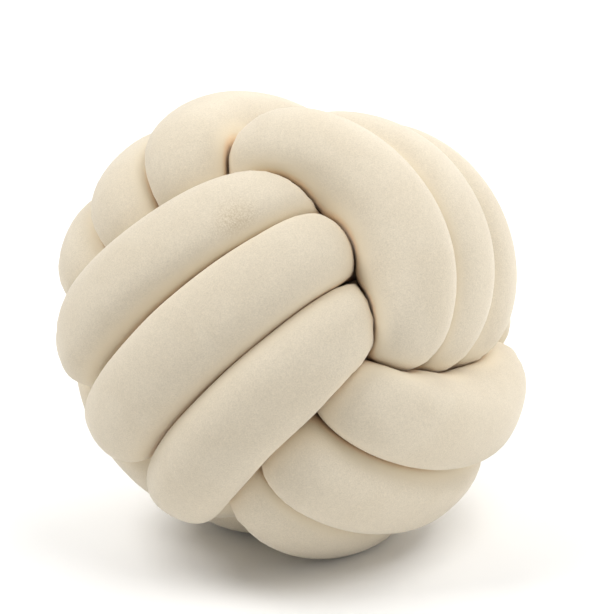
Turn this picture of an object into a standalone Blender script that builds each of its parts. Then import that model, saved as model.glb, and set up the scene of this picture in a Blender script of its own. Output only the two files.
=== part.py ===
"""Knot cushion: one long stuffed fabric tube wound into a ball knot.

Three bands wrap the ball, and each band is three turns of the tube, side by side. A band lies on top on two
opposite faces of the ball and dives under another band on the faces beside them, so each of the six faces
shows three strands whose ends go under their neighbours. The tube runs from band to band through the middle,
and its two ends are joined there, so the whole cushion is one closed tube.

Sizes are in metres and angles in degrees. +Z is up, and the origin is on the floor under the ball's middle.
"""
from collections import namedtuple

import bpy
import numpy as np
from mathutils import Euler
from mathutils.bvhtree import BVHTree

# ---- Driving dimensions ----
TUBE_RADIUS = 0.0335       # the stuffed tube where nothing presses on it
SWOLLEN_RADIUS = 0.0345    # the most a pressed tube swells on its free side
CROWN_RADIUS = 0.1450      # ball's middle to the centre of a strand that lies on top
SUNK_RADIUS = 0.0800       # ball's middle to a strand's centre where a band lies over it
YIELD = 0.0110             # how much slimmer a strand is counted once it is pulled under
FIRM_DEPTH = 0.0300        # depth below the regular crown at which it has yielded
LEAST_RADIUS = 0.0030      # the slimmest that a tube is pressed
SQUARENESS = 2.7           # 2 is a round section, and more fills its corners
STRAND_GAP = 0.0018        # clear space between two strands that press on each other
FLOOR_SINK = 0.0090        # how far the weight of the ball flattens it on the floor
LINK_POINT = (0.017, 0.005, -0.022)    # where the tube crosses the middle on its way to the next band

POSE = (46.0, -16.0, -119.0)    # how the ball is turned as it lies, about X, Y and Z
BAND_START = -58.0    # a band comes out of the middle this far from its first crown
SHOWN_HALF = 45.0     # a strand shows on a face for about this angle each side of its crown
TABLE_REACH = 1.3     # the table's curves go on to this many times that angle
SUNK_ANGLE = 66.0     # from here on a strand is wholly under the next band

# ---- Fineness ----
CENTRE_STEP = 4.0     # angle between two worked-out points of the centreline
CURVE_STEPS = 12      # points laid on the smooth curve from each of those to the next
FINE_SECTIONS = 1200  # sections for which the pressed shape is worked out
FINE_SIDES = 36
SECTIONS = 400        # sections that the solid has
SIDES = 12
BEND_WEIGHT = 1.6     # how much closer the sections stand where the tube bends hard
BEND_ROUNDS = 6       # rounds of smoothing of that closeness
DRAW_IN = 0.0005      # how far facets that cross are drawn in at a time
DRAW_IN_ROUNDS = 60

# ---- Settling of the stuffed skin ----
SETTLE_STEPS = 300
PULL_ROUND = 0.45     # share by which a radius moves to its neighbours' in a step, round the tube
PULL_ALONG = 0.90     # the same, along the tube
PULL_FULL = 0.06      # share by which the stuffing pushes it back to the section's own radius
REFILL_EVERY = 10     # steps between two looks at how much area each section has lost
REFILL_REACH = 3      # sections over which the stuffing evens out along the tube

# ---- Winding table ----
# One row for each time a strand crosses a face. The side angles say how far the strand lies from the middle
# line of its face where it comes up, at its crown and where it goes down. The lifts say how much farther out
# than the regular crown radius it stands at the same three places. It starts to sink at the last two angles
# from its crown, on the side where it comes up and on the side where it goes down.
Pass = namedtuple("Pass", "side_up side_crown side_down lift_up lift_crown lift_down sink_up sink_down")

# Each band crosses its own face and the opposite one in turn, three times each. Bands 0, 1 and 2 lie over
# the faces of the axes X, Y and Z of the unturned ball.
WINDING = (
    (
        Pass( 24.0,  21.5,  13.0, -0.003,  0.000,  0.000, 41.0, 32.0),
        Pass( 25.0,  25.0,  25.0,  0.000,  0.000,  0.000, 42.0, 42.0),
        Pass( -2.0,  -3.0,  -2.5, -0.003,  0.000,  0.000, 38.0, 34.0),
        Pass(  0.0,   0.0,   0.0,  0.000,  0.000,  0.000, 42.0, 42.0),
        Pass(-28.0, -27.5, -24.0,  0.000,  0.000,  0.000, 40.0, 32.0),
        Pass(-25.0, -25.0, -25.0,  0.000,  0.000,  0.000, 42.0, 42.0),
    ),
    (
        Pass( 33.5,  26.0,  34.0,  0.003,  0.009,  0.005, 33.0, 32.5),
        Pass( 25.0,  25.0,  25.0, -0.018, -0.018, -0.027, 42.0, 40.0),
        Pass( 14.5,   4.5,   4.0, -0.020,  0.005, -0.022, 38.0, 36.0),
        Pass(  0.0,   0.0,   0.0, -0.021, -0.021, -0.021, 42.0, 46.0),
        Pass(-12.0, -23.5, -22.0, -0.026,  0.007, -0.012, 40.0, 40.0),
        Pass(-25.0, -25.0, -25.0, -0.015, -0.015, -0.015, 42.0, 50.0),
    ),
    (
        Pass( 27.0,  25.0,  19.0,  0.004,  0.006,  0.008, 42.0, 36.0),
        Pass( 22.5,  27.0,  29.5,  0.005,  0.006,  0.008, 38.0, 42.0),
        Pass(  2.0,   2.5,  -3.0,  0.002,  0.002,  0.000, 42.0, 36.0),
        Pass( -2.5,   2.8,   5.5,  0.002,  0.002,  0.002, 38.0, 42.0),
        Pass(-25.0, -20.5, -25.5,  0.000,  0.002,  0.000, 42.0, 38.0),
        Pass(-21.5, -20.5, -17.5, -0.006, -0.006, -0.006, 38.0, 42.0),
    ),
)


def smooth_step(x):
    """Rise smoothly from 0 to 1 while x goes from 0 to 1."""
    x = np.clip(x, 0.0, 1.0)
    return x * x * (3.0 - 2.0 * x)


def three_point(up, crown, down, from_crown):
    """Value at an angle from the crown, on the parabola through its three table values."""
    u = np.clip(from_crown / SHOWN_HALF, -TABLE_REACH, TABLE_REACH)
    return crown + (down - up) / 2.0 * u + ((up + down) / 2.0 - crown) * u * u


def side_angle(crossing, from_crown):
    return three_point(crossing.side_up, crossing.side_crown, crossing.side_down, from_crown)


def lift(crossing, from_crown):
    return three_point(crossing.lift_up, crossing.lift_crown, crossing.lift_down, from_crown)


def strand_point(band, angle):
    """Centre of the tube on one band, at an angle counted on from the band's first crown."""
    over, under, side = np.roll(np.eye(3), -band, axis=0)
    rows = WINDING[band]
    first = int(np.clip(angle // 180.0, 0, len(rows) - 2))
    here, following = rows[first], rows[first + 1]
    from_here = angle - 180.0 * first
    from_following = from_here - 180.0

    share = smooth_step((from_here - SHOWN_HALF) / (180.0 - 2.0 * SHOWN_HALF))
    sideways = (1.0 - share) * side_angle(here, from_here) + share * side_angle(following, from_following)
    crown = (CROWN_RADIUS + (1.0 - share) * lift(here, from_here)
             + share * lift(following, from_following))

    nearest = min(from_here, from_following, key=abs)
    crossing = here if nearest == from_here else following
    sink_start = crossing.sink_up if nearest < 0.0 else crossing.sink_down
    depth = smooth_step((abs(nearest) - sink_start) / (SUNK_ANGLE - sink_start))
    radius = crown + (SUNK_RADIUS - crown) * depth

    turn, tilt = np.radians(angle), np.radians(sideways)
    outward = np.cos(tilt) * (np.cos(turn) * over + np.sin(turn) * under) + np.sin(tilt) * side
    return radius * outward


def control_points():
    """Points of the whole tube: three bands, with a crossing of the middle after each."""
    points = []
    for band, rows in enumerate(WINDING):
        band_end = 180.0 * (len(rows) - 1) - BAND_START
        for angle in np.arange(BAND_START, band_end + 0.1, CENTRE_STEP):
            points.append(strand_point(band, angle))
        points.append(np.roll(LINK_POINT, band))
    return np.array(points)


def closed_curve(points, count):
    """A smooth closed curve through the points, as evenly spaced points."""
    chord = np.linalg.norm(np.roll(points, -1, axis=0) - points, axis=1)[:, None]
    before = np.roll(chord, 1, axis=0)
    leaving = (np.roll(points, -1, axis=0) - points) / chord
    arriving = np.roll(leaving, 1, axis=0)
    tangent = (arriving * chord + leaving * before) / (chord + before)
    following, end_tangent = np.roll(points, -1, axis=0), np.roll(tangent, -1, axis=0)

    pieces = []
    for u in np.linspace(0.0, 1.0, CURVE_STEPS, endpoint=False):
        rise = u * u * (3.0 - 2.0 * u)
        start_pull = u * (1.0 - u) ** 2
        end_pull = -u * u * (1.0 - u)
        pieces.append((1.0 - rise) * points + rise * following
                      + chord * (start_pull * tangent + end_pull * end_tangent))
    dense = np.stack(pieces, axis=1).reshape(-1, 3)
    return spread_evenly(dense, np.ones(len(dense)), count)


def spread_evenly(closed, weight, count):
    """Points on a closed line whose spacing is even once each stretch is multiplied by its weight."""
    stretch = np.linalg.norm(np.roll(closed, -1, axis=0) - closed, axis=1) * weight
    along = np.concatenate(([0.0], np.cumsum(stretch)))
    wanted = np.linspace(0.0, along[-1], count, endpoint=False)
    ring = np.vstack((closed, closed[:1]))
    return np.stack([np.interp(wanted, along, ring[:, axis]) for axis in range(3)], axis=1)


def section_frames(centres):
    """Two directions across the tube at each centre, carried along with no twist that shows."""
    ahead = np.roll(centres, -1, axis=0) - np.roll(centres, 1, axis=0)
    ahead /= np.linalg.norm(ahead, axis=1, keepdims=True)
    across = np.zeros_like(centres)
    carried = np.cross(ahead[0], (0.0, 0.0, 1.0))
    for i, direction in enumerate(ahead):
        carried = carried - direction * carried.dot(direction)
        carried /= np.linalg.norm(carried)
        across[i] = carried
    carried = carried - ahead[0] * carried.dot(ahead[0])
    upright = np.cross(ahead, across)
    closing_twist = np.arctan2(carried.dot(upright[0]), carried.dot(across[0]))
    share = -closing_twist * np.arange(len(centres))[:, None] / len(centres)
    turned = np.cos(share) * across + np.sin(share) * upright
    return turned, np.cross(ahead, turned)


def spokes(centres, sides):
    """Unit directions from each centre to the skin around it, as an array of sections by sides."""
    across, upright = section_frames(centres)
    around = 2.0 * np.pi * np.arange(sides) / sides
    return (np.cos(around)[None, :, None] * across[:, None]
            + np.sin(around)[None, :, None] * upright[:, None])


def room_along(centres, directions):
    """How far the skin can reach along each spoke before it meets another part of the tube.

    Two strands meet halfway. A strand on top keeps more of its shape than one that is pulled under it, so
    there the wall between them is moved towards the one that lies deeper.
    """
    reach = 4.0 * TUBE_RADIUS
    depth = smooth_step((CROWN_RADIUS - np.linalg.norm(centres, axis=1)) / FIRM_DEPTH)
    firmness = (TUBE_RADIUS - YIELD * depth) ** 2
    room = np.full(directions.shape[:2], reach)
    for i, centre in enumerate(centres):
        offset = centres - centre
        distance = (offset ** 2).sum(axis=1)
        near = (distance > 1e-9) & (distance < reach ** 2)
        push = np.where(distance > TUBE_RADIUS ** 2, firmness[i] - firmness, 0.0)
        facing = directions[i] @ offset[near].T
        wall = np.where(facing > 1e-9, (distance + push)[near] / (2.0 * np.maximum(facing, 1e-9)), reach)
        room[i] = np.minimum(room[i], wall.min(axis=1))
    return np.maximum(room - STRAND_GAP / 2.0, LEAST_RADIUS)


def full_corners(centres, directions):
    """How much farther along each spoke the stuffing reaches than in a round section.

    The stuffing fills the corners between a strand's crown and its neighbours.
    """
    outward = centres / np.linalg.norm(centres, axis=1)[:, None]
    up = np.abs((directions * outward[:, None]).sum(axis=2))
    across = np.sqrt(np.clip(1.0 - up ** 2, 0.0, 1.0))
    return (up ** SQUARENESS + across ** SQUARENESS) ** (-1.0 / SQUARENESS)


def pressed_radii(room, fullness):
    """Radius of the stuffed skin along each spoke: full where it is free, flat where it is pressed.

    A section that loses area to its neighbours swells on its free side, up to the swollen radius.
    """
    radius = np.minimum(TUBE_RADIUS * fullness, room)
    full_area = np.pi * TUBE_RADIUS ** 2
    goal = np.full((len(room), 1), TUBE_RADIUS)
    for step in range(1, SETTLE_STEPS + 1):
        around = (np.roll(radius, 1, axis=1) + np.roll(radius, -1, axis=1)) / 2.0
        radius = radius + PULL_ROUND * (around - radius)
        along = (np.roll(radius, 1, axis=0) + np.roll(radius, -1, axis=0)) / 2.0
        radius = radius + PULL_ALONG * (along - radius)
        radius = np.minimum(radius + PULL_FULL * (goal * fullness - radius), room)
        if step % REFILL_EVERY == 0:
            area = np.pi * (radius ** 2).mean(axis=1, keepdims=True)
            growth = np.clip(full_area / area, 0.9, 1.1) ** 0.25
            goal = np.clip(goal * growth, 0.9 * TUBE_RADIUS, SWOLLEN_RADIUS)
            beside = np.roll(goal, REFILL_REACH, axis=0) + np.roll(goal, -REFILL_REACH, axis=0)
            goal = (2.0 * goal + beside) / 4.0
    return radius


def chosen_sections(centres):
    """Indices of the sections that the solid keeps, closer together where the tube bends hard."""
    ahead = np.roll(centres, -1, axis=0) - centres
    step = np.linalg.norm(ahead, axis=1)
    ahead /= step[:, None]
    bend = np.linalg.norm(ahead - np.roll(ahead, 1, axis=0), axis=1) / step
    for _ in range(BEND_ROUNDS):
        bend = (np.roll(bend, 1) + bend + np.roll(bend, -1)) / 3.0
    along = np.concatenate(([0.0], np.cumsum(step * (1.0 + BEND_WEIGHT * TUBE_RADIUS * bend))))
    wanted = np.linspace(0.0, along[-1], SECTIONS, endpoint=False)
    return np.unique(np.searchsorted(along[:-1], wanted).clip(0, len(centres) - 1))


def set_down(points):
    """Lower the ball to the floor, flatten what would be below it, and centre the ball on the origin."""
    points = points - (0.0, 0.0, points[:, 2].min() + FLOOR_SINK)
    points[:, 2] = np.maximum(points[:, 2], 0.0)
    middle = (points.min(axis=0) + points.max(axis=0)) / 2.0
    return points - (middle[0], middle[1], 0.0)


def tube_facets(sections, sides):
    """Corner numbers of the triangles of a closed tube: the last ring joins the first."""
    i = np.arange(sections)[:, None]
    k = np.arange(sides)[None, :]
    next_i, next_k = (i + 1) % sections, (k + 1) % sides
    here, beside = i * sides + k, i * sides + next_k
    ahead, across = next_i * sides + k, next_i * sides + next_k
    return np.concatenate([np.stack(corners, axis=-1).reshape(-1, 3)
                           for corners in ((here, beside, across), (here, across, ahead))])


def draw_in_crossings(rings, centres, facets):
    """Draw the skin in towards its centreline wherever facets of two strands cross."""
    corner_sets = [set(facet) for facet in facets.tolist()]
    spoke = rings - centres[:, None]
    length = np.linalg.norm(spoke, axis=2, keepdims=True)
    direction = spoke / length
    for _ in range(DRAW_IN_ROUNDS):
        points = (centres[:, None] + length * direction).reshape(-1, 3)
        tree = BVHTree.FromPolygons(points.tolist(), facets.tolist(), all_triangles=True)
        crossing = {corner for a, b in tree.overlap(tree)
                    if not corner_sets[a] & corner_sets[b]
                    for corner in corner_sets[a] | corner_sets[b]}
        if not crossing:
            break
        length.reshape(-1)[sorted(crossing)] -= DRAW_IN
    return points


def loft(name, points, facets):
    """One object from the worked-out points and facets."""
    mesh = bpy.data.meshes.new(name)
    mesh.from_pydata(points.tolist(), [], facets.tolist())
    mesh.shade_smooth()
    return bpy.data.objects.new(name, mesh)


def plush():
    """Cream brushed plush."""
    material = bpy.data.materials.new("cream_plush")
    material.use_nodes = True
    shader = material.node_tree.nodes["Principled BSDF"]
    shader.inputs["Base Color"].default_value = (0.78, 0.70, 0.56, 1.0)
    shader.inputs["Roughness"].default_value = 0.95
    shader.inputs["Metallic"].default_value = 0.0
    return material


def build_tube():
    turn = np.array(Euler(np.radians(POSE)).to_matrix())
    centres = closed_curve(control_points(), FINE_SECTIONS) @ turn.T
    directions = spokes(centres, FINE_SIDES)
    radii = pressed_radii(room_along(centres, directions), full_corners(centres, directions))
    skin = centres[:, None] + radii[..., None] * directions
    kept = chosen_sections(centres)
    facets = tube_facets(len(kept), SIDES)
    rings = skin[kept][:, ::FINE_SIDES // SIDES]
    points = draw_in_crossings(rings, centres[kept], facets)
    tube = loft("knotted_tube", set_down(points), facets)
    tube.data.materials.append(plush())
    return tube


def main():
    for old in list(bpy.data.objects):
        bpy.data.objects.remove(old)
    cushion = bpy.data.collections.new("knot_cushion")
    bpy.context.scene.collection.children.link(cushion)
    cushion.objects.link(build_tube())


main()
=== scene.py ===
# %% [markdown]
# # Knot cushion
# A knot cushion is one long tube of brushed plush, stuffed with fibre and wound into a ball. Its
# maker sews the tube, fills it, and winds it round a ball in three bands of three turns, each band
# lying over one neighbour and under the other. The two ends are joined in the middle of the ball,
# where nobody sees them.
#
# In Blender the lesson goes the same way: lay the line of the winding, put a tube on it, let the
# turns press on each other, let the stuffing swell the skin, and then give the skin its plush.
# Lengths are in metres.

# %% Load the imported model
import math
from collections import namedtuple

import bpy
import numpy as np
from mathutils import Euler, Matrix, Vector, noise
from mathutils.bvhtree import BVHTree


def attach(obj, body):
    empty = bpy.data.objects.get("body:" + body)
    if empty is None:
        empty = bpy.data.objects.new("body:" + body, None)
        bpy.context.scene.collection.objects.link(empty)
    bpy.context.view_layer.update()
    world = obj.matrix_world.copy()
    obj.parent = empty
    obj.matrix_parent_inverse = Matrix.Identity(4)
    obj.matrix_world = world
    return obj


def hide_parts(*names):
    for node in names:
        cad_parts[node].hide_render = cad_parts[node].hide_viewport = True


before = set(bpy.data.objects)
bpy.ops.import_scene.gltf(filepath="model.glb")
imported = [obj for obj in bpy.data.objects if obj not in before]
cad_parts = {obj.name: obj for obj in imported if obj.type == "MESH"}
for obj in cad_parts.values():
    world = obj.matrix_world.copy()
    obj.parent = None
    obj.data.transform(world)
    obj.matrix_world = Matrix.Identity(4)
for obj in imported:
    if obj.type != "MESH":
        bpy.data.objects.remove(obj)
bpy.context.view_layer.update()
print("packed nodes:", sorted(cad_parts))

# %% [markdown]
# ## The line of the winding
# Seen from outside, the ball has six faces, and three strands cross each face. A strand comes up
# out of the ball at one edge of its face, runs over the crown and goes down again at the far edge.
# On the next quarter turn it lies under another band.
#
# A free-hand curve would never close into a tidy knot, so the line is worked out from a small
# table, as a pattern maker would note it. Each row is one crossing of a face: how far to the side
# the strand lies, how far it stands out, and where it starts to sink.

# %% Sizes of the ball
TUBE_RADIUS = 0.0335       # the stuffed tube where nothing presses on it
CROWN_RADIUS = 0.1450      # ball's middle to the centre of a strand that lies on top
SUNK_RADIUS = 0.0800       # ball's middle to a strand's centre where a band lies over it
LINK_POINT = (0.017, 0.005, -0.022)    # on the way through the middle to the next band
FLOOR_SINK = 0.0090        # how far the weight of the ball flattens it on the floor
POSE = (46.0, -16.0, -119.0)    # how the ball is turned as it lies, about X, Y and Z

HALF_TURN = 180.0     # from one crown of a band to its next one, in degrees, as all angles here are
BAND_START = -58.0    # a band comes out of the middle this far from its first crown
SHOWN_HALF = 45.0     # a strand shows on a face for about this angle each side of its crown
TABLE_REACH = 1.3     # the table's curves go on to this many times that angle
SUNK_ANGLE = 66.0     # from here on a strand is wholly under the next band
CENTRE_STEP = 4.0     # angle between two worked-out points of the line
print("the tube is", round(2000 * TUBE_RADIUS), "mm thick")

# %% Winding table
# Side angles in degrees from the middle line of the face, and lifts in metres beyond the crown
# radius, each where the strand comes up, at its crown and where it goes down. The two sinks are the
# angles before and after its crown between which the strand is fully out.
Pass = namedtuple("Pass", ("side_up", "side_crown", "side_down",
                           "lift_up", "lift_crown", "lift_down", "sink_up", "sink_down"))
WINDING = (
    (
        Pass( 24.0,  21.5,  13.0, -0.003,  0.000,  0.000, 41.0, 32.0),
        Pass( 25.0,  25.0,  25.0,  0.000,  0.000,  0.000, 42.0, 42.0),
        Pass( -2.0,  -3.0,  -2.5, -0.003,  0.000,  0.000, 38.0, 34.0),
        Pass(  0.0,   0.0,   0.0,  0.000,  0.000,  0.000, 42.0, 42.0),
        Pass(-28.0, -27.5, -24.0,  0.000,  0.000,  0.000, 40.0, 32.0),
        Pass(-25.0, -25.0, -25.0,  0.000,  0.000,  0.000, 42.0, 42.0),
    ),
    (
        Pass( 33.5,  26.0,  34.0,  0.003,  0.009,  0.005, 33.0, 32.5),
        Pass( 25.0,  25.0,  25.0, -0.018, -0.018, -0.027, 42.0, 40.0),
        Pass( 14.5,   4.5,   4.0, -0.020,  0.005, -0.022, 38.0, 36.0),
        Pass(  0.0,   0.0,   0.0, -0.021, -0.021, -0.021, 42.0, 46.0),
        Pass(-12.0, -23.5, -22.0, -0.026,  0.007, -0.012, 40.0, 40.0),
        Pass(-25.0, -25.0, -25.0, -0.015, -0.015, -0.015, 42.0, 50.0),
    ),
    (
        Pass( 27.0,  25.0,  19.0,  0.004,  0.006,  0.008, 42.0, 36.0),
        Pass( 22.5,  27.0,  29.5,  0.005,  0.006,  0.008, 38.0, 42.0),
        Pass(  2.0,   2.5,  -3.0,  0.002,  0.002,  0.000, 42.0, 36.0),
        Pass( -2.5,   2.8,   5.5,  0.002,  0.002,  0.002, 38.0, 42.0),
        Pass(-25.0, -20.5, -25.5,  0.000,  0.002,  0.000, 42.0, 38.0),
        Pass(-21.5, -20.5, -17.5, -0.006, -0.006, -0.006, 38.0, 42.0),
    ),
)
print("bands:", len(WINDING), " turns in each:", len(WINDING[0]) // 2)


# %% One point of the line
def smooth_step(x):
    """Rise smoothly from 0 to 1 while x goes from 0 to 1."""
    x = np.clip(x, 0.0, 1.0)
    return x * x * (3.0 - 2.0 * x)


def three_point(up, crown, down, from_crown):
    """Value at an angle from the crown, on the parabola through its three table values."""
    u = np.clip(from_crown / SHOWN_HALF, -TABLE_REACH, TABLE_REACH)
    return crown + (down - up) / 2.0 * u + ((up + down) / 2.0 - crown) * u * u


def side_angle(crossing, from_crown):
    """How far to the side of its face a strand lies, in degrees."""
    return three_point(crossing.side_up, crossing.side_crown, crossing.side_down, from_crown)


def lift(crossing, from_crown):
    """How far a strand stands out beyond the crown radius."""
    return three_point(crossing.lift_up, crossing.lift_crown, crossing.lift_down, from_crown)


def strand_point(band, angle):
    """Centre of the tube on one band, at an angle counted on from the band's first crown."""
    over, under, side = np.roll(np.eye(3), -band, axis=0)
    rows = WINDING[band]
    first = int(np.clip(angle // HALF_TURN, 0, len(rows) - 2))
    here, following = rows[first], rows[first + 1]
    from_here = angle - HALF_TURN * first
    from_following = from_here - HALF_TURN

    share = smooth_step((from_here - SHOWN_HALF) / (HALF_TURN - 2.0 * SHOWN_HALF))
    sideways = ((1.0 - share) * side_angle(here, from_here)
                + share * side_angle(following, from_following))
    crown = (CROWN_RADIUS + (1.0 - share) * lift(here, from_here)
             + share * lift(following, from_following))

    nearest = min(from_here, from_following, key=abs)
    crossing = here if nearest == from_here else following
    sink_start = crossing.sink_up if nearest < 0.0 else crossing.sink_down
    depth = smooth_step((abs(nearest) - sink_start) / (SUNK_ANGLE - sink_start))
    radius = crown + (SUNK_RADIUS - crown) * depth

    turn, tilt = np.radians(angle), np.radians(sideways)
    outward = np.cos(tilt) * (np.cos(turn) * over + np.sin(turn) * under) + np.sin(tilt) * side
    return radius * outward


print("first crown, mm:", np.round(1000 * strand_point(0, 0.0)))


# %% The worked-out points, band after band
def winding_points():
    """Points of the whole line: three bands, with a crossing of the middle after each."""
    points = []
    for band, rows in enumerate(WINDING):
        band_end = HALF_TURN * (len(rows) - 1) - BAND_START
        for angle in np.arange(BAND_START, band_end + CENTRE_STEP / 2.0, CENTRE_STEP):
            points.append(strand_point(band, angle))
        points.append(np.roll(LINK_POINT, band))
    return np.array(points)


print("worked-out points:", len(winding_points()))


# %% The whole line
SECTIONS = 1600        # sections of the tube, 5 mm apart
POINTS_BETWEEN = 12    # steps of the curve from one worked-out point to the next


def smooth_closed_line(points, count):
    """Evenly spaced points on a smooth closed curve through the given ones, and its length."""
    ahead = np.roll(points, -1, axis=0)
    chord = np.linalg.norm(ahead - points, axis=1)[:, None]
    before = np.roll(chord, 1, axis=0)
    leaving = (ahead - points) / chord
    tangent = (np.roll(leaving, 1, axis=0) * chord + leaving * before) / (chord + before)
    next_tangent = np.roll(tangent, -1, axis=0)
    pieces = []
    for u in np.linspace(0.0, 1.0, POINTS_BETWEEN, endpoint=False):
        rise = smooth_step(u)
        pull = u * (1.0 - u) * ((1.0 - u) * tangent - u * next_tangent)
        pieces.append((1.0 - rise) * points + rise * ahead + chord * pull)
    dense = np.stack(pieces, axis=1).reshape(-1, 3)
    ring = np.vstack((dense, dense[:1]))
    along = np.concatenate(([0.0], np.cumsum(np.linalg.norm(np.diff(ring, axis=0), axis=1))))
    length = along[-1]
    wanted = np.linspace(0.0, length, count, endpoint=False)
    evenly = [np.interp(wanted, along, ring[:, axis]) for axis in range(3)]
    return np.stack(evenly, axis=1), length


turned = np.array(Euler([math.radians(angle) for angle in POSE]).to_matrix())
line, tube_length = smooth_closed_line(winding_points(), SECTIONS)
line = line @ turned.T
print("the tube is", round(tube_length, 2), "m long")

# %% [markdown]
# ## The tube
# A curve object with a round bevel is the quickest tube there is, and it keeps its rings in order
# when it is turned into a mesh. That order is worth having: each ring's middle stays known, so the
# skin can be pressed in and let out along straight spokes from it.

# %% Sweep a round tube along the line
BEVEL_STEPS = 22    # gives 48 points round the tube

sweep = bpy.data.curves.new("knotted_plush_tube", "CURVE")
sweep.dimensions = "3D"
spline = sweep.splines.new("POLY")
spline.points.add(SECTIONS - 1)
spline.points.foreach_set("co", np.column_stack((line, np.ones(SECTIONS))).ravel())
spline.use_cyclic_u = True
sweep.bevel_depth = TUBE_RADIUS
sweep.bevel_resolution = BEVEL_STEPS

tube = bpy.data.objects.new("knotted_plush_tube", sweep)
bpy.context.scene.collection.objects.link(tube)
bpy.ops.object.select_all(action="DESELECT")
tube.select_set(True)
bpy.context.view_layer.objects.active = tube
bpy.ops.object.convert(target="MESH")


def corners(mesh):
    """The places of a mesh's vertices as rows of x, y, z."""
    flat = np.zeros(3 * len(mesh.vertices))
    mesh.vertices.foreach_get("co", flat)
    return flat.reshape(-1, 3)


rings = corners(tube.data).reshape(SECTIONS, -1, 3)
SIDES = rings.shape[1]
spokes = rings - line[:, None]
spokes /= np.linalg.norm(spokes, axis=2, keepdims=True)
print("rings:", SECTIONS, " points in each:", SIDES)

# %% [markdown]
# ## Turns that press on each other
# Where two stuffed tubes are pulled together, both go flat and meet halfway, and a thin dark crease
# is left between them. A strand that is pulled under another one gives way more, so there the wall
# between the two lies deeper in the lower one. The skin loses room on that side and swells a little
# on its free side.
#
# Simulating nine turns that squeeze each other takes long and seldom settles, so the room along
# each spoke is worked out from the line itself: the halfway wall to every other part of the tube.

# %% Room along every spoke
STRAND_GAP = 0.0004    # clear space left between two strands that touch
YIELD = 0.0110         # how much slimmer a strand is counted once it is pulled under
FIRM_DEPTH = 0.0300    # depth below the crown at which it has yielded
LEAST_RADIUS = 0.0030  # the slimmest that the tube is pressed
PRESS_REACH = 4.0 * TUBE_RADIUS    # a part of the tube that is further off can't press here
TINY = 1e-9            # tells a part of the tube from itself, and keeps a division clear of zero


def room_along(centres, directions):
    """How far the skin can reach along each spoke before it meets another part of the tube."""
    depth = smooth_step((CROWN_RADIUS - np.linalg.norm(centres, axis=1)) / FIRM_DEPTH)
    firmness = (TUBE_RADIUS - YIELD * depth) ** 2
    room = np.full(directions.shape[:2], PRESS_REACH)
    for i, centre in enumerate(centres):
        offset = centres - centre
        apart = (offset ** 2).sum(axis=1)    # squared, as the firmness is
        near = (apart > TINY) & (apart < PRESS_REACH ** 2)
        push = np.where(apart > TUBE_RADIUS ** 2, firmness[i] - firmness, 0.0)
        facing = directions[i] @ offset[near].T
        halfway = (apart + push)[near] / (2.0 * np.maximum(facing, TINY))
        wall = np.where(facing > TINY, halfway, PRESS_REACH)
        room[i] = np.minimum(room[i], wall.min(axis=1))
    return np.maximum(room - STRAND_GAP / 2.0, LEAST_RADIUS)


room = room_along(line, spokes)
pressed = float((room < TUBE_RADIUS).mean())
print("share of the skin that presses on a neighbour:", round(pressed, 2))

# %% How full the corners of a section are
SQUARENESS = 2.7      # 2 is a round section; more fills its corners


def full_corners(centres, directions):
    """How much further the stuffing fills the corners of a section than a round one would."""
    outward = centres / np.linalg.norm(centres, axis=1)[:, None]
    up = np.abs(np.einsum("ijk,ik->ij", directions, outward))
    across = np.sqrt(np.clip(1.0 - up * up, 0.0, 1.0))
    return (up ** SQUARENESS + across ** SQUARENESS) ** (-1.0 / SQUARENESS)


section_shape = full_corners(line, spokes)
print("corners stand out by", round(100.0 * (float(section_shape.max()) - 1.0)), "% at most")

# %% Settle the pressed skin
SETTLE_STEPS = 300
PULL_ROUND = 0.18     # share by which a radius moves to its neighbours' in a step, round the tube
PULL_ALONG = 0.41     # the same, along the tube
ALONG_SECTIONS = 2    # sections from a radius to its neighbours along the tube
PULL_FULL = 0.06      # share by which the stuffing pushes it back to the section's own radius

REFILL_EVERY = 10     # steps after which each section's own radius follows what its area has lost
REFILL_LEAST, REFILL_MOST = 0.9, 1.1      # limits of full area over present area, as it counts here
REFILL_POWER = 0.25   # how quickly the radius makes up for it
REFILL_SECTIONS = 4   # sections from a section to those that it shares its stuffing with
SLACK_RADIUS = 0.9 * TUBE_RADIUS          # the least a section's own radius can be
SWOLLEN_RADIUS = 0.0345    # the most, so a pressed tube swells on its free side by 1 mm


def pressed_radii(room, shape):
    """Radius along each spoke: full where the tube is free, flat where it is pressed."""
    radius = np.minimum(TUBE_RADIUS * shape, room)
    full_area = np.pi * TUBE_RADIUS ** 2
    goal = np.full((len(room), 1), TUBE_RADIUS)
    for step in range(1, SETTLE_STEPS + 1):
        around = (np.roll(radius, 1, axis=1) + np.roll(radius, -1, axis=1)) / 2.0
        radius = radius + PULL_ROUND * (around - radius)
        before, after = (np.roll(radius, way * ALONG_SECTIONS, axis=0) for way in (1, -1))
        radius = radius + PULL_ALONG * ((before + after) / 2.0 - radius)
        radius = np.minimum(radius + PULL_FULL * (goal * shape - radius), room)
        if step % REFILL_EVERY == 0:
            area = np.pi * (radius ** 2).mean(axis=1, keepdims=True)
            growth = np.clip(full_area / area, REFILL_LEAST, REFILL_MOST) ** REFILL_POWER
            goal = np.clip(goal * growth, SLACK_RADIUS, SWOLLEN_RADIUS)
            before, after = (np.roll(goal, way * REFILL_SECTIONS, axis=0) for way in (1, -1))
            goal = (2.0 * goal + (before + after)) / 4.0
    return radius


settled = pressed_radii(room, section_shape)
print("radius, mm: least", round(1000 * settled.min(), 1), " most", round(1000 * settled.max(), 1))

# %% [markdown]
# ## Stuffing
# The filling pushes the skin out, like air in a tyre. Blender's Cloth does that with its pressure
# setting. The tube starts a little slimmer and swells for twenty frames with gravity off: flat
# stretches bulge more than tight curves do. What counts is that difference, so it is added to the
# settled skin, point by point along the spokes and never past the wall to the neighbour. So the
# creases close, and no strand ends up in another.

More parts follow.
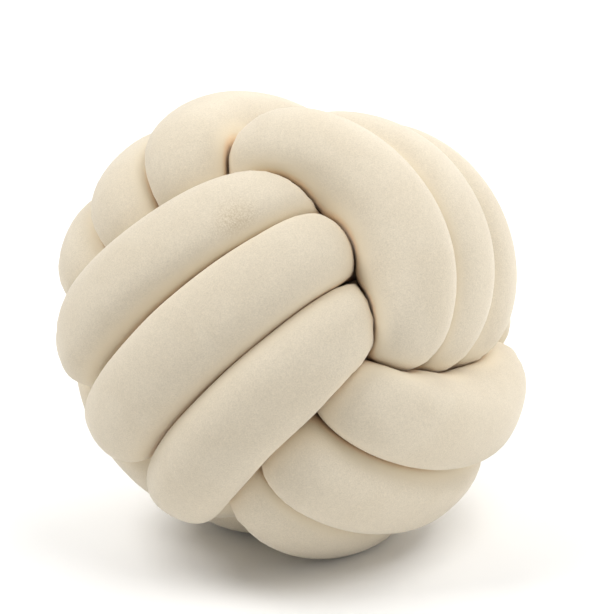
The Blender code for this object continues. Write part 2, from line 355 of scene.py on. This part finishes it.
# %% Swell the skin with Cloth
SLIM_START = 0.0008    # how much slimmer the skin starts than it settled
SWELL_CAP = 0.0010     # the most that a point may swell more or less than the others
SWELL_FRAMES = 20
PRESSURE = 4.0
SKIN_STIFFNESS = 5.0
CLOTH_QUALITY = 2      # steps that Cloth takes in each frame


def skin_at(radii):
    """Points of the skin, ring by ring: each at its radius along its own spoke."""
    return line[:, None] + radii[..., None] * spokes


def swell_by_pressure(piece):
    """Run the pressure and measure how far each point moves out along its spoke."""
    start = corners(piece.data).reshape(SECTIONS, SIDES, 3)
    stuffing = piece.modifiers.new("stuffing", "CLOTH")
    stuffing.settings.quality = CLOTH_QUALITY
    stuffing.settings.tension_stiffness = SKIN_STIFFNESS
    stuffing.settings.compression_stiffness = SKIN_STIFFNESS
    stuffing.settings.use_pressure = True
    stuffing.settings.uniform_pressure_force = PRESSURE
    stuffing.settings.effector_weights.gravity = 0.0
    stuffing.collision_settings.use_collision = False
    for number in range(1, SWELL_FRAMES + 1):
        bpy.context.scene.frame_set(number)
    shown = piece.evaluated_get(bpy.context.evaluated_depsgraph_get())
    end = corners(shown.data).reshape(SECTIONS, SIDES, 3)
    piece.modifiers.remove(stuffing)
    bpy.context.scene.frame_set(1)
    return ((end - start) * spokes).sum(axis=2)


slim = np.maximum(settled - SLIM_START, LEAST_RADIUS)
tube.data.vertices.foreach_set("co", skin_at(slim).ravel())
tube.data.update()
swelling = swell_by_pressure(tube)
uneven = np.clip(swelling - swelling.mean(), -SWELL_CAP, SWELL_CAP)
radii = np.minimum(settled + uneven, room)
print("swelling, mm: mean", round(1000 * float(swelling.mean()), 2),
      " least and most", np.round(1000 * np.percentile(swelling, (1, 99)), 2))

# %% [markdown]
# ## Lumps, creases and the flat spot
# Fibre stuffing is never quite even, so the skin gets very soft swells, a few tenths of a
# millimetre high. The ball's own weight flattens it where it lies. And every point remembers how
# near its neighbour it lies, as a value on the mesh. It is the mask for the light and shade that
# are painted into the plush's colour on the way into a crease.

# %% Add soft lumps
LUMP_LENGTH = 0.055    # from one soft swell of the stuffing to the next
LUMP_HEIGHT = 0.0006

lumps = np.array([[noise.noise(Vector(point) / LUMP_LENGTH) for point in ring]
                  for ring in skin_at(radii)])
radii = np.minimum(radii + LUMP_HEIGHT * lumps, room)
print("lumps, mm:", np.round(1000 * LUMP_HEIGHT * np.array([lumps.min(), lumps.max()]), 2))

# %% Keep the strands clear of each other
DRAW_IN = 0.0004       # how far a crossing corner is drawn in each time
DRAW_IN_ROUNDS = 30

faces = [tuple(face.vertices) for face in tube.data.polygons]
face_corners = [set(face) for face in faces]
for draw_round in range(DRAW_IN_ROUNDS):
    skin = skin_at(radii).reshape(-1, 3)
    nearby = BVHTree.FromPolygons(skin.tolist(), faces)
    crossing = {corner for a, b in nearby.overlap(nearby) if not face_corners[a] & face_corners[b]
                for corner in face_corners[a] | face_corners[b]}
    if not crossing:
        break
    radii.reshape(-1)[sorted(crossing)] -= DRAW_IN
print("rounds of drawing in:", draw_round, " corners that still cross:", len(crossing))

# %% Lay the ball down
skin -= (0.0, 0.0, skin[:, 2].min() + FLOOR_SINK)
skin[:, 2] = np.maximum(skin[:, 2], 0.0)
middle = (skin.min(axis=0) + skin.max(axis=0)) / 2.0
skin -= (middle[0], middle[1], 0.0)
tube.data.vertices.foreach_set("co", skin.ravel())
bpy.ops.object.shade_smooth()
print("flat spot: points on the floor:", int((skin[:, 2] == 0.0).sum()))

# %% Note how deep in a crease each point lies
CREASE_REACH = 0.015    # how far from the halfway wall the skin still counts as near a crease
CREASE_SPREAD = 3       # rounds of sharing the value with the points beside
CREASE_BOTTOM = 0.9     # closeness from which a point counts as lying inside a crease

# this closeness is the mask for the light and shade painted into the creases
closeness = np.clip(1.0 - (room - radii) / CREASE_REACH, 0.0, 1.0)
for _ in range(CREASE_SPREAD):
    for axis in (0, 1):
        before, after = (np.roll(closeness, way, axis=axis) for way in (1, -1))
        closeness = (2.0 * closeness + before + after) / 4.0
crease = tube.data.attributes.new("crease", "FLOAT", "POINT")
crease.data.foreach_set("value", closeness.astype(np.float32).ravel())
print("share of the skin inside creases:", round(float((closeness > CREASE_BOTTOM).mean()), 2))

# %% [markdown]
# ## Plush
# Brushed plush is a knit whose pile is teased up into short upright fibres. It has no shine of its
# own. Three things give it away: a fine grain of fibre tips, broad faint patches where the pile was
# stroked one way or the other, and an edge that turns pale where the pile is seen from the side.
#
# The grain and the patches are noise on Object coordinates, so they stay on the cushion from every
# side. The pale edge is the shader's sheen. The grain sits in a node group, ready for any other
# plush.
#
# Beside a crease the pile also gets light from the pile across from it, and that bounced light is
# painted into the colour as a slightly paler shade. At the bottom, the shade of the crease is
# painted in as a warm brown.

# %% Helpers for nodes
def add_node(tree, kind, place, **settings):
    """One node at its place in the tree, with its settings."""
    node = tree.nodes.new(kind)
    node.location = place
    for name, value in settings.items():
        setattr(node, name, value)
    return node


def set_inputs(node, **values):
    """Give a node's inputs their values. An underscore in a name stands for a space."""
    for name, value in values.items():
        node.inputs[name.replace("_", " ")].default_value = value
    return node


# %% Node group: brushed pile
PILE_COUNTS = {
    "Tips per metre": 1000.0,
    "Tufts per metre": 300.0,      # small tufts that the tips gather in
    "Strokes per metre": 22.0,     # broad strokes of the brush
}
TUFT_SHARE = 0.18    # share of the tufts in the grain; the rest is tips


def brushed_pile():
    """Grain of the fibre tips, strokes of the brush, and a height for bump, all about 0 to 1."""
    tree = bpy.data.node_groups.new("brushed pile", "ShaderNodeTree")
    tree.interface.new_socket("Vector", in_out="INPUT", socket_type="NodeSocketVector")
    for name, value in PILE_COUNTS.items():
        socket = tree.interface.new_socket(name, in_out="INPUT", socket_type="NodeSocketFloat")
        socket.default_value = value
    for name in ("Grain", "Strokes", "Height"):
        tree.interface.new_socket(name, in_out="OUTPUT", socket_type="NodeSocketFloat")
    given = add_node(tree, "NodeGroupInput", (-900, 0))
    out = add_node(tree, "NodeGroupOutput", (500, 0))

    tips = add_node(tree, "ShaderNodeTexNoise", (-600, 250))
    set_inputs(tips, Detail=3.0, Roughness=0.65)
    tufts = add_node(tree, "ShaderNodeTexNoise", (-600, 0))
    set_inputs(tufts, Detail=2.0, Roughness=0.55, Distortion=0.4)
    strokes = add_node(tree, "ShaderNodeTexNoise", (-600, -250))
    set_inputs(strokes, Detail=2.0, Roughness=0.5, Distortion=0.8)
    for texture, count in zip((tips, tufts, strokes), PILE_COUNTS):
        tree.links.new(given.outputs["Vector"], texture.inputs["Vector"])
        tree.links.new(given.outputs[count], texture.inputs["Scale"])

    grain = add_node(tree, "ShaderNodeMix", (-250, 150), data_type="FLOAT")
    grain.inputs["Factor"].default_value = TUFT_SHARE
    tree.links.new(tips.outputs["Fac"], grain.inputs["A"])
    tree.links.new(tufts.outputs["Fac"], grain.inputs["B"])
    tree.links.new(grain.outputs["Result"], out.inputs["Grain"])
    tree.links.new(grain.outputs["Result"], out.inputs["Height"])
    tree.links.new(strokes.outputs["Fac"], out.inputs["Strokes"])
    return tree


pile = brushed_pile()
print("group inputs:", [item.name for item in pile.interface.items_tree if item.in_out == "INPUT"])

# %% Colours of the plush
CREAM = (0.678, 0.601, 0.474, 1.0)
CREAM_STROKED = (0.661, 0.582, 0.454, 1.0)    # where the pile lies the other way
HANDLED = (0.50, 0.39, 0.24, 1.0)             # a faint patch from handling
PAINTED_CREASE_LIGHT = (0.748, 0.661, 0.511, 1.0)      # painted bounce light beside a crease, where light goes from pile to pile
PAINTED_CREASE_SHADE = (0.790, 0.580, 0.375, 1.0)      # painted warm shade at the bottom of a crease
print("cream:", CREAM[:3], " at the bottom of a crease:", PAINTED_CREASE_SHADE[:3])


# %% Strokes and grain
def mix_colours(tree, place, blend="MIX"):
    """A node that mixes two colours."""
    return add_node(tree, "ShaderNodeMix", place, data_type="RGBA", blend_type=blend)


def stroked_cream(tree, nap):
    """Broad strokes: two shades of cream."""
    share = add_node(tree, "ShaderNodeMapRange", (-1000, 200), interpolation_type="SMOOTHSTEP")
    set_inputs(share, From_Min=0.35, From_Max=0.68)
    tree.links.new(nap.outputs["Strokes"], share.inputs["Value"])
    stroked = mix_colours(tree, (-750, 200))
    stroked.inputs["A"].default_value = CREAM
    stroked.inputs["B"].default_value = CREAM_STROKED
    tree.links.new(share.outputs["Result"], stroked.inputs["Factor"])
    return stroked


def with_grain(tree, nap, shades):
    """Fibre tips: a light and dark grain that multiplies the cream."""
    tips = add_node(tree, "ShaderNodeMapRange", (-1000, -100))
    set_inputs(tips, From_Min=0.30, From_Max=0.70, To_Min=0.88, To_Max=1.10)
    tree.links.new(nap.outputs["Grain"], tips.inputs["Value"])
    grained = mix_colours(tree, (-500, 200), "MULTIPLY")
    grained.inputs["Factor"].default_value = 1.0
    tree.links.new(shades.outputs["Result"], grained.inputs["A"])
    tree.links.new(tips.outputs["Result"], grained.inputs["B"])
    return grained


# %% Handled patch
HANDLED_PLACE = (-0.037, -0.1270, 0.2725)    # on the skin of one strand
HANDLED_REACH = 0.024    # from the middle of the patch to where it has faded out
HANDLED_SHARE = 0.64     # how far the tips take its colour in the middle


def with_handled_patch(tree, place, nap, shades):
    """A faint handled patch on one strand, caught on the fibre tips."""
    away = add_node(tree, "ShaderNodeVectorMath", (-1000, 500), operation="DISTANCE")
    away.inputs[1].default_value = HANDLED_PLACE
    tree.links.new(place.outputs["Object"], away.inputs[0])
    patch = add_node(tree, "ShaderNodeMapRange", (-750, 500), interpolation_type="SMOOTHSTEP")
    set_inputs(patch, From_Min=0.0, From_Max=HANDLED_REACH, To_Min=HANDLED_SHARE, To_Max=0.0)
    tree.links.new(away.outputs["Value"], patch.inputs["Value"])
    caught = add_node(tree, "ShaderNodeMapRange", (-750, 750))
    set_inputs(caught, From_Min=0.40, From_Max=0.60, To_Min=1.0, To_Max=0.0)
    tree.links.new(nap.outputs["Grain"], caught.inputs["Value"])
    speckle = add_node(tree, "ShaderNodeMath", (-500, 600), operation="MULTIPLY")
    tree.links.new(patch.outputs["Result"], speckle.inputs[0])
    tree.links.new(caught.outputs["Result"], speckle.inputs[1])
    handled = mix_colours(tree, (-250, 200))
    handled.inputs["B"].default_value = HANDLED
    tree.links.new(speckle.outputs["Value"], handled.inputs["Factor"])
    tree.links.new(shades.outputs["Result"], handled.inputs["A"])
    return handled


# %% Painted light and shade of a crease
# painted bounce light beside a crease first, then the painted warm shade at its bottom
PAINTED_CREASE_RAMPS = (    # closeness where each colour starts and where it is full
    (0.10, 0.75, PAINTED_CREASE_LIGHT),
    (0.78, 1.00, PAINTED_CREASE_SHADE),
)


def with_painted_crease_light(tree, shades):
    """Painted light in creases: a little lighter on the way in, a painted warm brown shade at the
    bottom.
    """
    depth = add_node(tree, "ShaderNodeAttribute", (-500, -250), attribute_name="crease")
    for column, (start, full, colour) in enumerate(PAINTED_CREASE_RAMPS):
        right = 250 * column
        share = add_node(tree, "ShaderNodeMapRange", (right - 250, -250),
                         interpolation_type="SMOOTHSTEP")
        set_inputs(share, From_Min=start, From_Max=full)
        tree.links.new(depth.outputs["Fac"], share.inputs["Value"])
        mixed = mix_colours(tree, (right, 200))
        mixed.inputs["B"].default_value = colour
        tree.links.new(share.outputs["Result"], mixed.inputs["Factor"])
        tree.links.new(shades.outputs["Result"], mixed.inputs["A"])
        shades = mixed
    return shades


# %% Material: cream plush
def cream_plush():
    """Matt cream plush with a soft sheen and a fine relief."""
    material = bpy.data.materials.new("cream_plush")
    material.use_nodes = True
    tree = material.node_tree
    shader = tree.nodes["Principled BSDF"]
    set_inputs(shader, Roughness=0.95, Specular_IOR_Level=0.12,
               Sheen_Weight=0.35, Sheen_Roughness=0.45, Sheen_Tint=(1.0, 0.97, 0.91, 1.0))

    place = add_node(tree, "ShaderNodeTexCoord", (-1500, 0))
    nap = add_node(tree, "ShaderNodeGroup", (-1250, 0), node_tree=pile)
    tree.links.new(place.outputs["Object"], nap.inputs["Vector"])

    shades = with_grain(tree, nap, stroked_cream(tree, nap))
    # the painted crease light and shade go over all the plush's own colours
    shades = with_painted_crease_light(tree, with_handled_patch(tree, place, nap, shades))
    tree.links.new(shades.outputs["Result"], shader.inputs["Base Color"])

    relief = add_node(tree, "ShaderNodeBump", (250, -250))
    set_inputs(relief, Strength=0.35, Distance=0.0006)
    tree.links.new(nap.outputs["Height"], relief.inputs["Height"])
    tree.links.new(relief.outputs["Normal"], shader.inputs["Normal"])
    shader.location = (500, 100)
    tree.nodes["Material Output"].location = (800, 100)
    return material


tube.data.materials.clear()
tube.data.materials.append(cream_plush())
print("nodes in the plush:", len(tube.data.materials[0].node_tree.nodes))

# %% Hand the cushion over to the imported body
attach(tube, "root")
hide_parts("knotted_tube")
print("the tube rides on root and stands for the packed solid")

# %% [markdown]
# ## Floor, light and camera
# The cushion lies on a plain pale floor under soft studio light. Two soft lamps hang above it, one
# to each side. A weak one stands low on its right, and one behind it draws its right edge. A fifth
# lights only the floor behind, which keeps the background white, and a pale world fills the
# shadows. A long lens from a little above gives the calm, nearly flat view of a catalogue picture.

# %% Floor
bpy.ops.object.select_all(action="DESELECT")
bpy.ops.mesh.primitive_plane_add(size=12.0, location=(0.0, 0.0, 0.0))
floor = bpy.context.object
floor.name = "studio_floor"
floor_paint = bpy.data.materials.new("pale_floor")
floor_paint.use_nodes = True
set_inputs(floor_paint.node_tree.nodes["Principled BSDF"],
           Base_Color=(0.93, 0.93, 0.925, 1.0), Roughness=0.9, Specular_IOR_Level=0.1)
floor.data.materials.append(floor_paint)
print("floor:", [round(side, 1) for side in floor.dimensions])

# %% Lamps and world
AIM = Vector((0.0, 0.0, 0.16))    # the middle of the cushion


def soft_lamp(name, place, size, power, aim=AIM):
    """A square area lamp, side and power in metres and watts, aimed at the cushion by default."""
    lamp_data = bpy.data.lights.new(name, "AREA")
    lamp_data.size, lamp_data.energy = size, power
    lamp = bpy.data.objects.new(name, lamp_data)
    bpy.context.scene.collection.objects.link(lamp)
    lamp.location = place
    lamp.rotation_euler = (aim - lamp.location).to_track_quat("-Z", "Y").to_euler()


soft_lamp("left_lamp", Vector((-1.3, -0.2, 2.1)), 1.2, 33.3)
soft_lamp("right_lamp", Vector((1.0, -0.8, 2.1)), 1.2, 23.0)
soft_lamp("side_lamp", Vector((2.3, -0.4, 0.7)), 1.5, 8.0)
soft_lamp("back_lamp", Vector((1.6, 1.6, 1.2)), 1.5, 30.0)
soft_lamp("floor_lamp", Vector((-0.6, 3.0, 2.0)), 2.0, 40.0, aim=Vector((-0.6, 3.0, 0.0)))

world = bpy.data.worlds.new("studio")
bpy.context.scene.world = world
world.use_nodes = True
set_inputs(world.node_tree.nodes["Background"], Color=(1.0, 1.0, 1.0, 1.0), Strength=0.385)
bpy.context.scene.view_settings.view_transform = "Standard"

# %% Camera
LENS = 126.0             # millimetres, a long lens
CAMERA_TILT = 18.0       # degrees above the horizon
CAMERA_ROLL = -1.0       # degrees round the line of sight
CAMERA_DISTANCE = 1.6    # from the middle of the cushion
CUSHION_MIDDLE = Vector((-0.0006, 0.0, 0.1585))
FRAME_CENTRE = Vector((0.0104, 0.0043, 0.1692))    # the cushion sits a little low and left of it

tilt = math.radians(CAMERA_TILT)
backwards = Vector((0.0, -math.cos(tilt), math.sin(tilt)))
camera_data = bpy.data.cameras.new("camera")
camera_data.lens = LENS
camera = bpy.data.objects.new("camera", camera_data)
bpy.context.scene.collection.objects.link(camera)
camera.location = CUSHION_MIDDLE + CAMERA_DISTANCE * backwards
camera.rotation_euler = (FRAME_CENTRE - camera.location).to_track_quat("-Z", "Y").to_euler()
camera.rotation_euler.rotate_axis("Z", math.radians(CAMERA_ROLL))
bpy.context.scene.camera = camera
print("lens, mm:", camera_data.lens)
